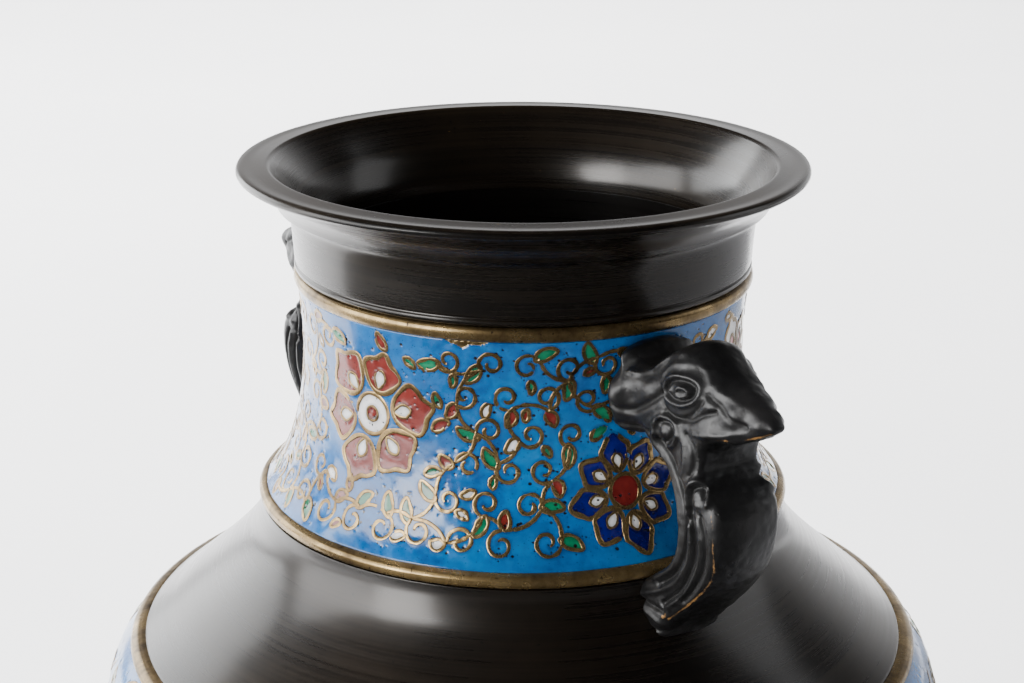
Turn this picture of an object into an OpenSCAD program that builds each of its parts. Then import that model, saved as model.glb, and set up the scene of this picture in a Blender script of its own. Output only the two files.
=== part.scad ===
// Cloisonne vase: patinated cast bronze with enamelled neck and belly bands
// and two bird-head handles. Millimetres, +Z up, origin at the centre of the
// foot's resting face. The handles lie close to the X axis.

/* [Overall] */
// Height from the foot's resting face to the top of the lip
total_h = 300; // [270:1:330]
// Radius of the outer edge of the lip
rim_r = 60; // [56:0.5:62]
// Radius of the clear mouth at the inner edge of the lip
mouth_r = 53.3; // [51.5:0.1:54]

/* [Walls] */
// Thickness of the cast bronze walls
wall = 3; // [2.4:0.1:3.4]
// Depth of the enamel behind the outer surface
enamel_t = 1.2; // [1:0.1:1.4]
// Height of the cell wires and coloured cells above the ground enamel
inlay_t = 0.3; // [0.2:0.05:0.4]
// Width of a cell wire
wire_w = 1; // [0.8:0.05:1.2]
// Gap at a soldered seam
seam = 0.05; // [0.03:0.01:0.1]

/* [Handles] */
// Half of the thickness of a handle across its arm
handle_hw = 8; // [7:0.25:9]
// Angle that each handle leans off the X axis, towards -Y
handle_skew = 4.5; // [0:0.5:6]
// Radius of the rivets that hold the handles
rivet_r = 2.5; // [2:0.1:3]

/* [Ornament] */
// Number of repeats of the floral pattern around each band
repeats = 3; // [2:1:4]
// Radius of the large neck flowers
flower_r = 14; // [12:0.5:15]
// Radius of the belly flowers
belly_flower_r = 16; // [13:0.5:18]

/* [Hidden] */
T = total_h;
bronze = "#2a2420";
brass = "#a8823f";

// Outer profiles, as [radius, depth below the lip's top plane]
neck_pts = [[47.8, -25.5], [47.3, -31], [47.1, -38], [47.2, -44], [48, -50], [49.6, -58], [52.2, -65], [55.7, -70]];
shoulder_pts = [[57.1, -73.2], [57.6, -76], [59.1, -80], [62, -84], [66, -88.3], [70.2, -92.3], [74.6, -96.2], [79.2, -100], [83.4, -103.4]];
belly_pts = [[86.2, -105.8], [89.9, -110], [92.3, -116.5], [93.2, -124], [92.7, -132], [90.8, -142], [87.6, -152], [84, -160]];
lower_pts = [[82.6, -163], [77.2, -178], [69.6, -196], [61.2, -214], [53.2, -230], [47, -243], [44, -252]];
foot_pts = [[46, -254.5], [46.4, -256], [45.6, -257.5], [43.6, -259], [44.2, -263], [47.4, -271], [52.6, -279.5], [58, -286], [60.4, -289.5]];

// Catmull-Rom points through a list, n steps between neighbours
function at(p, i) = p[max(0, min(len(p) - 1, i))];
function cr(a, b, c, d, t) = 0.5 * ((2 * b) + (c - a) * t + (2 * a - 5 * b + 4 * c - d) * t * t + (3 * b - a - 3 * c + d) * t * t * t);
function smooth(p, n = 3) = [for (i = [0 : len(p) - 2], j = [0 : n - 1])
    cr(at(p, i - 1), at(p, i), at(p, i + 1), at(p, i + 2), j / n), p[len(p) - 1]];
function lift(p) = [for (q = p) [q[0], q[1] + T]];
function inset(p, d) = [for (q = p) [q[0] - d, q[1]]];
function rev(p) = [for (i = [len(p) - 1 : -1 : 0]) p[i]];
// Radius of a profile at a depth
function r_at(p, z, i = 0) = i >= len(p) - 2 || z >= p[i + 1][1]
    ? p[i][0] + (p[i + 1][0] - p[i][0]) * (z - p[i][1]) / (p[i + 1][1] - p[i][1]) : r_at(p, z, i + 1);

neck_s = smooth(neck_pts, 2);
shoulder_s = smooth(shoulder_pts, 2);
belly_s = smooth(belly_pts, 2);
lower_s = smooth(lower_pts, 2);
foot_s = smooth(foot_pts, 2);

module lathe(points) { rotate_extrude($fn = 180) polygon(lift(points)); }
// A revolved layer between two depths under a profile
module layer(p, d0, d1) { lathe(concat(inset(p, d0), rev(inset(p, d1)))); }

/* ---- metalwork ---- */
module mouth_rim() {
    color(bronze) lathe([
        [mouth_r, 0], [mouth_r + 0.5, -0.05], [rim_r - 1, -0.55], [rim_r - 0.2, -0.9], [rim_r, -1.4], [rim_r - 0.3, -1.9],
        [57.4, -3.2], [54.9, -4.9], [53.1, -6.8], [52.2, -8.3], [51.2, -8.9], [50.1, -9.4], [49.4, -10.3], [49, -12], [48.7, -15],
        [48.4, -20], [48.2, -22.2],
        [47.3, -22.4], [46.4 + seam, -22.4], [46.4 + seam, -17.5], [43.6, -17.5], [44.2, -14], [46.2, -9.4], [48.6, -6],
        [51.2, -2.4], [52.6, -0.7]]);
}
module neck_ring_upper() {
    color(brass) lathe([[46.4 + seam, -22.45], [47.8, -22.45], [48.4, -22.9], [48.6, -23.7], [48.3, -24.7], [47.7, -25.45], [46.4 + seam, -25.45]]);
}
module neck_shell() {
    color(bronze) difference() {
        lathe(concat([[46.4, -17.6], [46.4, -25.5]], inset(neck_s, enamel_t), [[54.5, -73.1], [54.5, -77.4], [50.6, -77.4], [50.6, -72]],
            rev(inset([for (q = neck_s) if (q[1] > -69 && q[1] < -28) q], enamel_t + wall)), [[43.6, -27], [43.6, -17.6]]));
        for (s = [0, 1]) rivet_bore(s, -37);
    }
}
module neck_ring_lower() {
    color(brass) lathe([[54.5 + seam, -70.05], [55.9, -70.05], [56.8, -70.5], [57.3, -71.4], [57.3, -72.3], [56.9, -73.15], [54.5 + seam, -73.15]]);
}
module shoulder_shell() {
    color(bronze) difference() {
        lathe(concat(shoulder_s, [[83.6, -103.6], [80.2, -103.6], [80.2, -107], [77.4, -107], [76.4, -103]],
            rev(inset([for (q = shoulder_s) if (q[1] > -98 && q[1] < -84) q], wall + 0.6)), [[54.5 + seam, -78.6], [54.5 + seam, -73.2]]));
        for (s = [0, 1]) rivet_bore(s, -86);
    }
}
module belly_ring_upper() {
    color(brass) lathe([[80.2 + seam, -103.65], [84.1, -103.65], [85.2, -104], [86.1, -104.8], [86.4, -105.75], [83, -105.75], [80.2 + seam, -105.75]]);
}
module belly_shell() {
    color(bronze) lathe(concat([[80.2 + seam, -105.8]], inset(belly_s, enamel_t), [[82.6 - enamel_t, -163], [80.4, -163], [80.4, -168], [77.6, -168], [77.8, -162]],
        rev(inset([for (q = belly_s) if (q[1] < -112 && q[1] > -158) q], enamel_t + wall)), [[80.2 + seam, -109.5]]));
}
module belly_ring_lower() {
    color(brass) lathe([[80.6 + enamel_t, -160.05], [84, -160.05], [84.2, -160.9], [83.9, -162], [83, -162.95], [80.6 + enamel_t, -162.95]]);
}
module lower_body() {
    color(bronze) lathe(concat(lower_s, [[43.6, -253.4], [40.6, -253.4], [40.6, -247.5]],
        rev(inset([for (q = lower_s) if (q[1] < -170 && q[1] > -242) q], wall + 0.4)), [[77.2, -168.5], [80.4 + seam, -168.5], [80.4 + seam, -163.05], [82.5, -163.05]]));
}
module base_plate() {
    color(bronze) translate([0, 0, T - 253.4]) cylinder(r = 40.6 - seam, h = 2.4, $fn = 128);
}
module foot() {
    color(bronze) lathe(concat([[44, -253.45]], foot_s, [[60.8, -291], [61, -293], [61, -299], [60.4, -300], [55.6, -300], [55.6, -291]],
        [[54, -288], [49, -282], [43.8, -274], [40.6, -266], [40, -260], [40, -253.45]]));
}

/* ---- ornament: plane outlines laid on the bands ---- */
// Half width of a petal, as a share of its sector, at t along its length
function swell(t) = t < 0.5 ? 0.72 + 0.56 * t : sqrt(max(0, 1 - pow((t - 0.5) / 0.5, 2)));
// One petal of a flower of radius r with n petals, drawn in by g on all sides
function petal(r, n, g) = let (r0 = r * 0.34 + g, r1 = r - g, h = 180 / n)
    concat([for (i = [0 : 6]) let (t = i / 6, q = r0 + (r1 - r0) * t, a = max(0, h * swell(t) - asin(g / q))) q * [cos(a), sin(a)]],
        [for (i = [5 : -1 : 0]) let (t = i / 6, q = r0 + (r1 - r0) * t, a = max(0, h * swell(t) - asin(g / q))) q * [cos(a), -sin(a)]]);
// Outline around all petals of a flower
function rosette(r, n) = [for (k = [0 : n - 1], i = [-3 : 3]) let (t = 1 - abs(i) / 6, a = 180 / n * swell(t) * sign(i) + k * 360 / n)
    (r * 0.34 + r * 0.66 * t + wire_w * 0.35) * [cos(a), sin(a)]];
// Leaf outline with one sharp tip
function leaf(l, w, g = 0) = [for (i = [0 : 7]) let (a = i * 45, u = cos(a)) [(l / 2 + g) * u, (w + g) * sin(a) * (1 - 0.45 * u)]];
// Ribbon along a spiral from radius r0 to r1
function coil(r0, r1, turn, t0, n = 9) = concat(
    [for (i = [0 : n]) let (k = i / n, a = t0 + turn * k, r = r0 + (r1 - r0) * k + wire_w * 0.4) r * [cos(a), sin(a)]],
    [for (i = [n : -1 : 0]) let (k = i / n, a = t0 + turn * k, r = r0 + (r1 - r0) * k - wire_w * 0.4) r * [cos(a), sin(a)]]);
// Lays a plane outline on a band at an angle and depth, turned by tw
module lay(az, z, from, tw = 0) {
    rotate([0, 0, az]) translate([from, 0, z + T]) rotate([0, 90, 0]) rotate([0, 0, tw]) linear_extrude(18) children();
}
// Flowers: [angle in the repeat, depth, radius, petals, colour]
neck_flowers = [[-77, -43.7, flower_r, 6, "red"], [-13, -57, flower_r * 0.8, 8, "cobalt"], [36, -40, flower_r * 0.85, 8, "white"]];
belly_flowers = [[-20, -130.7, belly_flower_r, 8, "pink"], [20, -134.6, belly_flower_r * 0.8, 6, "white"], [60, -133.3, belly_flower_r * 0.95, 8, "cobalt"]];
// Leaves: [angle in the repeat, depth, turn]
neck_leaves = [[-46, -29, 20], [-26, -32, 60], [-48, -36.5, 80], [-52, -44, 100], [-36, -44.5, 60], [-50, -52, 20], [-33, -52, 90], [-45.5, -61.5, 150], [6, -56, 60], [24, -58, 120], [69, -31, 60], [70, -40, 100], [57, -46, 40], [74, -48.5, 20], [68, -56, 150], [56, -64, 90]];
belly_leaves = [[1, -116, 60], [40, -116, 110], [-1, -148, 130], [40, -150, 40]];
// Scrolls: [angle, depth, outer radius, sweep, start]
neck_scrolls = [[-54.5, -30.5, 2.6, 330, 60], [-34, -30.5, 2.8, -330, 20], [-40, -37.5, 2.6, 300, -60], [-44, -45, 2.6, -340, 100], [-41, -53, 2.6, 320, 180], [-37, -62, 2.8, -300, 0], [15, -53, 2.8, 320, 60], [61, -29, 2.4, 330, 0], [78, -37, 2.6, -330, 90], [65, -65, 2.8, 330, 120]];
belly_scrolls = [[1, -124, 3.4, 330, 60], [-1, -139, 3.4, -330, 0], [40, -125, 3.4, -330, 20], [40, -140, 3.4, 330, 90]];

module neck_skin() { layer(neck_s, -0.02, inlay_t - 0.02); }
module belly_skin() { layer(belly_s, -0.02, inlay_t - 0.02); }
module motif(repeat, from, flowers, leaves, scrolls, kind, what) {
    for (n = [0 : repeat - 1]) rotate([0, 0, n * 360 / repeat]) {
        if (what == "wire") {
            for (f = flowers) lay(f[0], f[1], from) difference() {
                polygon(rosette(f[2], f[3]));
                for (k = [0 : f[3] - 1]) rotate(k * 360 / f[3]) polygon(petal(f[2], f[3], wire_w / 2));
                circle(r = f[2] * 0.34 - wire_w / 2, $fn = 12);
            }
            for (q = leaves) lay(q[0], q[1], from, q[2]) difference() { polygon(leaf(5.2, 1.7, wire_w * 0.7)); polygon(leaf(5.2, 1.7)); }
            for (q = scrolls) lay(q[0], q[1], from) polygon(coil(q[2], q[2] * 0.3, q[3], q[4]));
        }
        if (what == "petal") for (f = flowers) if (f[4] == kind) for (k = [0 : f[3] - 1]) lay(f[0], f[1], from, k * 360 / f[3]) polygon(petal(f[2], f[3], wire_w / 2 + 0.05));
        if (what == "heart") for (f = flowers) lay(f[0], f[1], from) circle(r = f[2] * 0.34 - wire_w / 2 - 0.05, $fn = 12);
        if (what == "leaf") for (q = leaves) lay(q[0], q[1], from, q[2]) polygon(leaf(5.2, 1.7, -0.06));
    }
}
module neck_part(kind, what) { intersection() { neck_skin(); motif(2, 40, neck_flowers, neck_leaves, neck_scrolls, kind, what); } }
module belly_part(kind, what) { intersection() { belly_skin(); motif(repeats, 78, belly_flowers, belly_leaves, belly_scrolls, kind, what); } }

module neck_enamel_ground() {
    color("#0f8fc4") difference() { layer(neck_s, inlay_t, enamel_t - 0.02); for (s = [0, 1]) rivet_bore(s, -37); }
}
module neck_cloisons() { color(brass) neck_part("", "wire"); }
module neck_enamel_red() { color("#8e2a20") neck_part("red", "petal"); }
module neck_enamel_white() { color("#e8e6df") { neck_part("white", "petal"); neck_part("", "heart"); } }
module neck_enamel_green() { color("#138a5a") neck_part("", "leaf"); }
module neck_enamel_cobalt() { color("#1b1f86") neck_part("cobalt", "petal"); }
module belly_enamel_ground() { color("#0f8fc4") layer(belly_s, inlay_t, enamel_t - 0.02); }
module belly_cloisons() { color(brass) belly_part("", "wire"); }
module belly_enamel_pink() { color("#c9919b") belly_part("pink", "petal"); }
module belly_enamel_white() { color("#e8e6df") { belly_part("white", "petal"); belly_part("", "heart"); } }
module belly_enamel_green() { color("#138a5a") belly_part("", "leaf"); }
module belly_enamel_cobalt() { color("#1b1f86") belly_part("cobalt", "petal"); }

/* ---- handles ---- */
// Places the handle frame: x outwards from the axis, y across the arm
module handle_frame(s) { rotate([0, 0, s * 180 + (s ? 1 : -1) * handle_skew]) translate([0, 0, T]) children(); }
// The rivet's line: level through the neck, and rising through the shoulder into the arm
module rivet_line(z) {
    if (z > -60) translate([38, 0, z]) rotate([0, 90, 0]) children();
    else translate([56.2, 0, -85.8]) rotate([0, 36.87, 0]) children();
}
module rivet_bore(s, z) { handle_frame(s) rivet_line(z) translate([0, 0, -4]) cylinder(r = rivet_r, h = 30, $fn = 32); }
// Side view, as [distance from the axis, depth below the lip]: crest, brow, beak, throat, chest, foot, then the opening
outer_side = [[46, -26.6], [49.2, -26.4], [52, -28.6], [55, -29.6], [58, -26.8], [62, -23.4], [66.5, -22.6], [70.6, -25.4], [75.6, -28.8], [81.4, -30.8], [85.8, -33],
    [86.4, -34.6], [83.6, -36.4], [79.8, -38.4], [75, -39.4], [72.2, -41.4], [71.6, -45.4], [73, -48.6], [76.2, -50.2], [77.7, -54], [77.6, -59], [76.4, -64], [73.8, -69], [69.2, -74.2], [65.6, -78], [62.8, -81.4]];
inner_side = [[52.4, -80], [54.6, -74.6], [60, -70.4], [65.2, -65.8], [66.9, -60.6], [66.2, -55], [63.4, -49.6], [59, -46], [54, -44.4], [45, -45]];
side = concat(smooth(outer_side, 2), [[60.4, -86], [50, -88]], smooth(inner_side, 2));
module slab(y0, y1, d) {
    for (m = [0, 1]) mirror([0, m, 0]) translate([0, y1, 0]) rotate([90, 0, 0]) linear_extrude(y1 - y0) offset(delta = -d) polygon(side);
}
module handle(s) {
    color(bronze) handle_frame(s) difference() {
        union() {
            rotate([90, 0, 0]) linear_extrude(2 * (handle_hw - 2.6), center = true) polygon(side);
            slab(handle_hw - 2.7, handle_hw - 1.1, 0.7);
            slab(handle_hw - 1.2, handle_hw, 1.9);
            hull() {
                translate([44, -12.6, -45]) cube([4, 25.2, 17.5]);
                translate([56, -handle_hw + 1, -42.5]) cube([1, 2 * handle_hw - 2, 10]);
            }
            hull() {
                translate([54, -8.6, -87]) cube([6, 17.2, 5]);
                translate([66, -handle_hw + 1, -76]) cube([1, 2 * handle_hw - 2, 3]);
            }
            // eye rings and cheek curls
            for (m = [-1, 1]) translate([66.4, 0, -30.8]) rotate([90, 0, 0]) difference() {
                cylinder(r = 5, h = 2 * handle_hw + 1.6, center = true, $fn = 48);
                for (k = [0, 1]) mirror([0, 0, k]) translate([0, 0, handle_hw - 0.2]) difference() { cylinder(r = 3.8, h = 2, $fn = 48); cylinder(r = 1.9, h = 0.8, $fn = 48); }
            }
        }
        // the beak narrows to its tip
        for (m = [0, 1]) mirror([0, m, 0]) translate([71, handle_hw - 0.4, -41]) rotate([0, 0, -24]) cube([22, 12, 16]);
        translate([0, 0, -T]) lathe(concat([[0, -20], [48.8, -20], [48.8, -25.4]], inset(neck_s, -0.1), [[57.5, -70], [57.5, -73.2]], inset(shoulder_s, -0.15), [[0, -104]]));
        rivet_line(-37) translate([0, 0, -4]) cylinder(r = rivet_r + 0.05, h = 22, $fn = 32);
        rivet_line(-86) translate([0, 0, -4]) cylinder(r = rivet_r + 0.05, h = 16, $fn = 32);
    }
}
module rivets(s) {
    color(bronze) handle_frame(s) {
        rivet_line(-37) { translate([0, 0, 2.2]) cylinder(r = rivet_r + 1.6, h = 2.4, $fn = 48); translate([0, 0, 4.4]) cylinder(r = rivet_r - seam, h = 13, $fn = 48); }
        rivet_line(-86) { translate([0, 0, -1]) cylinder(r = rivet_r + 1.6, h = 2.5, $fn = 48); translate([0, 0, 1.4]) cylinder(r = rivet_r - seam, h = 14, $fn = 48); }
    }
}

mouth_rim();
neck_ring_upper();
neck_shell();
neck_enamel_ground();
neck_cloisons();
neck_enamel_red();
neck_enamel_white();
neck_enamel_green();
neck_enamel_cobalt();
neck_ring_lower();
shoulder_shell();
belly_ring_upper();
belly_shell();
belly_enamel_ground();
belly_cloisons();
belly_enamel_pink();
belly_enamel_white();
belly_enamel_green();
belly_enamel_cobalt();
belly_ring_lower();
lower_body();
base_plate();
foot();
handle(0);  // handle_right
handle(1);  // handle_left
rivets(0);  // rivets_right
rivets(1);  // rivets_left
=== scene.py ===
import math
import bpy
import numpy as np
from mathutils import Matrix, Vector


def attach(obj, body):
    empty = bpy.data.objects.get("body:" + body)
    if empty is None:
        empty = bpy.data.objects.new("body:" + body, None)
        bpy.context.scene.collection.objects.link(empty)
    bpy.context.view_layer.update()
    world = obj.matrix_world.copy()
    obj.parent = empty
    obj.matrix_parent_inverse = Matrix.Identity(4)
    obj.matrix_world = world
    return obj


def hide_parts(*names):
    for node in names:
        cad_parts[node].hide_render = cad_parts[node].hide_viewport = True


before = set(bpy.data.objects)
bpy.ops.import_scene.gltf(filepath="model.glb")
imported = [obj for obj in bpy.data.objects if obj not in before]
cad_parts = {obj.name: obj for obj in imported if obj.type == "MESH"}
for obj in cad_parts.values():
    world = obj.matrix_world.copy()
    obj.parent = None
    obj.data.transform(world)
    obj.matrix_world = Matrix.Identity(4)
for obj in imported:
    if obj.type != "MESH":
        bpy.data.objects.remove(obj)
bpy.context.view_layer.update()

T = 300.0          # height of the lip above the foot's resting face, mm
MM = 0.001
SKEW = 4.5         # lean of each handle off the X axis towards -Y, degrees
WIRE = 0.98        # width of a cell wire, mm

# ------------------------------------------------------------------ profiles
# [radius, depth below the lip's top plane], mm
NECK = [[47.9, -25.5], [47.4, -30], [47.1, -36], [47.1, -42], [47.8, -50], [49.5, -58], [52.2, -65], [55.8, -70]]
SHOULDER = [[57.0, -73.2], [57.5, -76], [59.1, -80], [62, -84], [65.9, -88.2], [70.2, -92.3], [74.7, -96.2], [79.2, -100], [83.3, -103.3]]
BELLY = [[86.4, -105.8], [89.9, -110], [92.3, -116.5], [93.2, -124], [92.7, -132], [90.8, -142], [87.6, -152], [84, -160]]
LOWER = [[82.6, -163], [77.2, -178], [69.6, -196], [61.2, -214], [53.2, -230], [47, -243], [44, -252]]
FOOT = [[44, -253.4], [46, -254.5], [46.4, -256], [45.6, -257.5], [43.6, -259], [44.2, -263], [47.4, -271], [52.6, -279.5], [58, -286], [60.4, -289.5], [60.9, -291]]


def spline(points, per=8, closed=False):
    """Catmull-Rom through the points."""
    p = np.array(points, float)
    n = len(p)
    out = []
    last = n if closed else n - 1
    for i in range(last):
        if closed:
            a, b, c, d = p[(i - 1) % n], p[i], p[(i + 1) % n], p[(i + 2) % n]
        else:
            a, b, c, d = p[max(i - 1, 0)], p[i], p[i + 1], p[min(i + 2, n - 1)]
        for j in range(per):
            t = j / per
            out.append(0.5 * (2 * b + (c - a) * t + (2 * a - 5 * b + 4 * c - d) * t * t + (3 * b - a - 3 * c + d) * t ** 3))
    if not closed:
        out.append(p[-1])
    return np.array(out)


def radius_of(profile):
    s = spline(profile, 12)
    z, r = s[::-1, 1], s[::-1, 0]
    return lambda q: np.interp(q, z, r)


NECK_R = radius_of(NECK)
BELLY_R = radius_of(BELLY)
SHOULDER_R = radius_of(SHOULDER)


def body_radius(z):
    """Outer radius of the finished body at a depth, from the collar to the belly."""
    k = [[48.7, -15], [48.3, -22.2]] + spline(NECK, 8).tolist() + [[57.2, -71.5]] + spline(SHOULDER, 8).tolist() + [[86, -105]]
    k = np.array(k)[::-1]
    return np.interp(z, k[:, 1], k[:, 0])


# ------------------------------------------------------------------ helpers
def new_object(name, verts, faces, mats, smooth=True, face_mat=None):
    me = bpy.data.meshes.new(name)
    verts = np.asarray(verts, np.float32)
    faces = np.asarray(faces, np.int32)
    me.vertices.add(len(verts))
    me.vertices.foreach_set("co", verts.ravel())
    k = faces.shape[1]
    me.loops.add(faces.size)
    me.loops.foreach_set("vertex_index", faces.ravel())
    me.polygons.add(len(faces))
    me.polygons.foreach_set("loop_start", np.arange(0, faces.size, k, dtype=np.int32))
    me.polygons.foreach_set("loop_total", np.full(len(faces), k, np.int32))
    me.polygons.foreach_set("use_smooth", np.full(len(faces), smooth, bool))
    for m in mats:
        me.materials.append(m)
    if face_mat is not None:
        me.polygons.foreach_set("material_index", np.asarray(face_mat, np.int32))
    me.update(calc_edges=True)
    me.validate()
    ob = bpy.data.objects.new(name, me)
    bpy.context.scene.collection.objects.link(ob)
    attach(ob, "root")
    return ob


def fillet(loop, radius=0.25, steps=4, sharp=22):
    """Rounds the sharp corners of a closed outline."""
    p = np.array(loop, float)
    keep = np.linalg.norm(p - np.roll(p, 1, axis=0), axis=1) > 1e-6
    p = p[keep]
    out = []
    n = len(p)
    for i in range(n):
        a, b, c = p[i - 1], p[i], p[(i + 1) % n]
        u, v = a - b, c - b
        lu, lv = np.linalg.norm(u), np.linalg.norm(v)
        u, v = u / lu, v / lv
        turn = 180 - math.degrees(math.acos(max(-1, min(1, float(u @ v)))))
        if turn < sharp:
            out.append(b)
            continue
        r = min(radius, lu * 0.45, lv * 0.45)
        for k in range(steps + 1):
            t = k / steps
            out.append((1 - t) ** 2 * (b + u * r) + 2 * t * (1 - t) * b + t * t * (b + v * r))
    return np.array(out)


def refine(loop, longest):
    out = []
    n = len(loop)
    for i in range(n):
        a, b = loop[i], loop[(i + 1) % n]
        k = max(1, int(math.ceil(np.linalg.norm(b - a) / longest)))
        for j in range(k):
            out.append(a + (b - a) * j / k)
    return np.array(out)


def lathe(name, loop, mats, round_over=0.25, turns=None, longest=1.6, wobble=0.0, seed=1):
    """A closed outline in (radius, depth) turned about the axis."""
    turns = turns or (400)
    p = refine(fillet(loop, round_over), longest)
    m = len(p)
    a = np.arange(turns) * 2 * math.pi / turns
    r = p[None, :, 0] + np.zeros((turns, 1))
    if wobble:
        rng = np.random.default_rng(seed)
        w = np.zeros((turns, m))
        for _ in range(6):
            k = rng.integers(2, 7)
            w += rng.normal() * np.cos(k * a[:, None] + rng.uniform(0, 6.28) + p[None, :, 1] * rng.normal() * 0.08)
        r = r + wobble * w / 3
    v = np.stack([r * np.cos(a)[:, None], r * np.sin(a)[:, None], np.broadcast_to(p[None, :, 1] + T, r.shape)], -1) * MM
    i = np.arange(turns)[:, None]
    j = np.arange(m)[None, :]
    f = np.stack([i * m + j, i * m + (j + 1) % m, ((i + 1) % turns) * m + (j + 1) % m, ((i + 1) % turns) * m + j], -1).reshape(-1, 4)
    area = 0.5 * np.sum(p[:, 0] * np.roll(p[:, 1], -1) - np.roll(p[:, 0], -1) * p[:, 1])
    if area < 0:
        f = f[:, ::-1]
    return new_object(name, v.reshape(-1, 3), f[:, ::-1], mats)


# ------------------------------------------------------------------ materials
def nodes_of(name):
    m = bpy.data.materials.new(name)
    m.use_nodes = True
    nt = m.node_tree
    nt.nodes.clear()
    out = nt.nodes.new("ShaderNodeOutputMaterial")
    bs = nt.nodes.new("ShaderNodeBsdfPrincipled")
    nt.links.new(bs.outputs[0], out.inputs[0])
    return m, nt, bs


def add(nt, kind, **kw):
    n = nt.nodes.new(kind)
    for k, v in kw.items():
        setattr(n, k, v)
    return n


def setin(n, **kw):
    for k, v in kw.items():
        n.inputs[k.replace("_", " ")].default_value = v
    return n


def coords(nt, scale):
    tc = add(nt, "ShaderNodeTexCoord")
    mp = add(nt, "ShaderNodeMapping")
    mp.inputs["Scale"].default_value = scale
    nt.links.new(tc.outputs["Object"], mp.inputs["Vector"])
    return mp.outputs[0]


def noise(nt, scale3, scale, detail=4, rough=0.55):
    n = add(nt, "ShaderNodeTexNoise")
    setin(n, Scale=scale, Detail=detail, Roughness=rough)
    nt.links.new(coords(nt, scale3), n.inputs["Vector"])
    return n.outputs["Fac"]


def ramp(nt, src, stops, mode="LINEAR"):
    r = add(nt, "ShaderNodeValToRGB")
    r.color_ramp.interpolation = mode
    e = r.color_ramp.elements
    while len(e) < len(stops):
        e.new(0.5)
    for i, (p, c) in enumerate(stops):
        e[i].position = p
        e[i].color = c if len(c) == 4 else (*c, 1)
    nt.links.new(src, r.inputs[0])
    return r.outputs[0]


def mixc(nt, fac, a, b, mode="MIX"):
    m = add(nt, "ShaderNodeMix", data_type="RGBA", blend_type=mode)
    for s, v in ((m.inputs[0], fac), (m.inputs[6], a), (m.inputs[7], b)):
        if hasattr(v, "is_linked") or hasattr(v, "links"):
            nt.links.new(v, s)
        elif isinstance(v, (int, float)):
            s.default_value = v
        else:
            s.default_value = (*v, 1) if len(v) == 3 else v
    return m.outputs[2]


def math_node(nt, op, a, b=None, clamp=False):
    m = add(nt, "ShaderNodeMath", operation=op, use_clamp=clamp)
    for s, v in ((m.inputs[0], a), (m.inputs[1], b)):
        if v is None:
            continue
        if hasattr(v, "links"):
            nt.links.new(v, s)
        else:
            s.default_value = v
    return m.outputs[0]


def remap(nt, v, a, b, c, d):
    m = add(nt, "ShaderNodeMapRange")
    nt.links.new(v, m.inputs[0])
    for i, x in zip((1, 2, 3, 4), (a, b, c, d)):
        m.inputs[i].default_value = x
    return m.outputs[0]


def bump(nt, height, strength, distance, under=None):
    b = add(nt, "ShaderNodeBump")
    setin(b, Strength=strength, Distance=distance)
    nt.links.new(height, b.inputs["Height"])
    if under is not None:
        nt.links.new(under, b.inputs["Normal"])
    return b.outputs[0]


def gray(v):
    return (v, v, v)


def bronze_turned(name, dark=(0.0030, 0.0026, 0.0026), warm=(0.017, 0.0115, 0.0070), gold=0.0, rough=(0.22, 0.36), metal=0.5, coat=0.5):
    """Turned and patinated bronze: fine lines round the axis, cloudy patina, specks, and gold flecks where it has worn."""
    m, nt, bs = nodes_of(name)
    bs.inputs["Metallic"].default_value = metal
    bs.inputs["Coat Weight"].default_value = coat
    bs.inputs["Coat Roughness"].default_value = 0.19
    bs.inputs["IOR"].default_value = 1.6
    cloud = noise(nt, (14, 14, 22), 1.6, 6, 0.6)
    band = noise(nt, (3, 3, 260), 1.0, 5, 0.7)
    fine = noise(nt, (7, 7, 2400), 1.0, 2, 0.5)
    speck = noise(nt, (1, 1, 1), 900, 2, 0.5)
    mix1 = math_node(nt, "ADD", math_node(nt, "MULTIPLY", cloud, 0.65), math_node(nt, "MULTIPLY", band, 0.35))
    base = ramp(nt, mix1, [(0.34, dark), (0.52, tuple(d * 0.6 + w * 0.4 for d, w in zip(dark, warm))), (0.68, warm)])
    base = mixc(nt, ramp(nt, fine, [(0.35, gray(0.0)), (0.75, gray(0.35))]), base, tuple(w * 1.5 for w in warm))
    base = mixc(nt, ramp(nt, speck, [(0.24, gray(1.0)), (0.29, gray(0.0))]), base, (0.003, 0.0025, 0.002))
    if gold:
        fleck = noise(nt, (1, 1, 1.6), 420, 5, 0.7)
        sp = ramp(nt, fleck, [(0.70 - gold * 0.1, gray(0.0)), (0.76 - gold * 0.1, gray(0.7))])
        base = mixc(nt, sp, base, (0.20, 0.12, 0.045))
    nt.links.new(base, bs.inputs["Base Color"])
    rg = math_node(nt, "ADD", math_node(nt, "MULTIPLY", cloud, 0.6), math_node(nt, "MULTIPLY", fine, 0.4))
    nt.links.new(remap(nt, rg, 0.3, 0.7, rough[0], rough[1]), bs.inputs["Roughness"])
    b1 = bump(nt, fine, 0.10, 0.00004)
    b2 = bump(nt, band, 0.10, 0.00016, b1)
    b3 = bump(nt, speck, 0.14, 0.00005, b2)
    nt.links.new(b3, bs.inputs["Normal"])
    return m


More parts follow.
